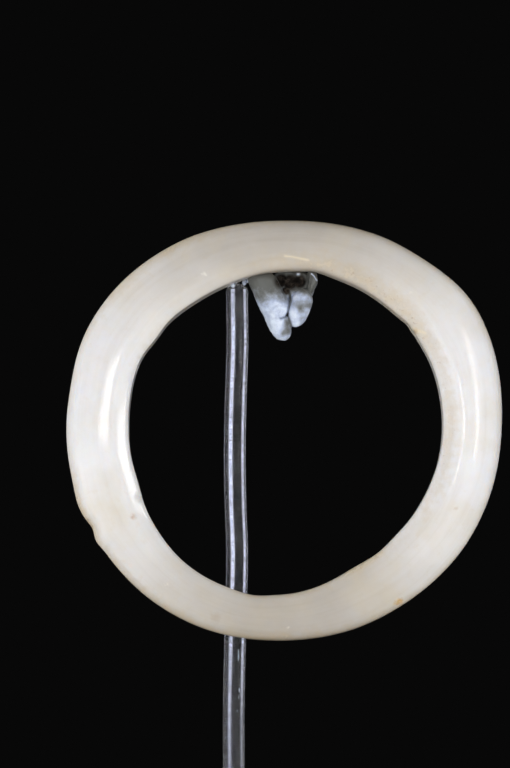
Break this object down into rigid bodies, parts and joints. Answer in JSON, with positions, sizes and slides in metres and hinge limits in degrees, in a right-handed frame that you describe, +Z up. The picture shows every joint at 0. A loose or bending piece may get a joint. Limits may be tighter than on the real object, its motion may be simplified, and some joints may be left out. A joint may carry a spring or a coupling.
{
  "type": "stone bracelet",
  "caption": "Closed bangle of pale polished stone, ground by hand, held upright on a clear rod with a lump of putty and a square clear foot.",
  "frame": {"origin": "centre of the foot's underside, under the rod", "axes": "+Z up along the rod, -Y towards the front of the bracelet, +X to the right as seen from the front"},
  "size_m": [0.0782, 0.06, 0.1194],
  "materials": {
    "stone": "gloss",
    "clear_rod": "polished",
    "putty": "satin",
    "clear_foot": "polished"
  },
  "bodies": {
    "root": {"bracelet": "stone", "rod": "clear_rod", "putty": "putty", "foot": "clear_foot"}
  },
  "joints": []
}
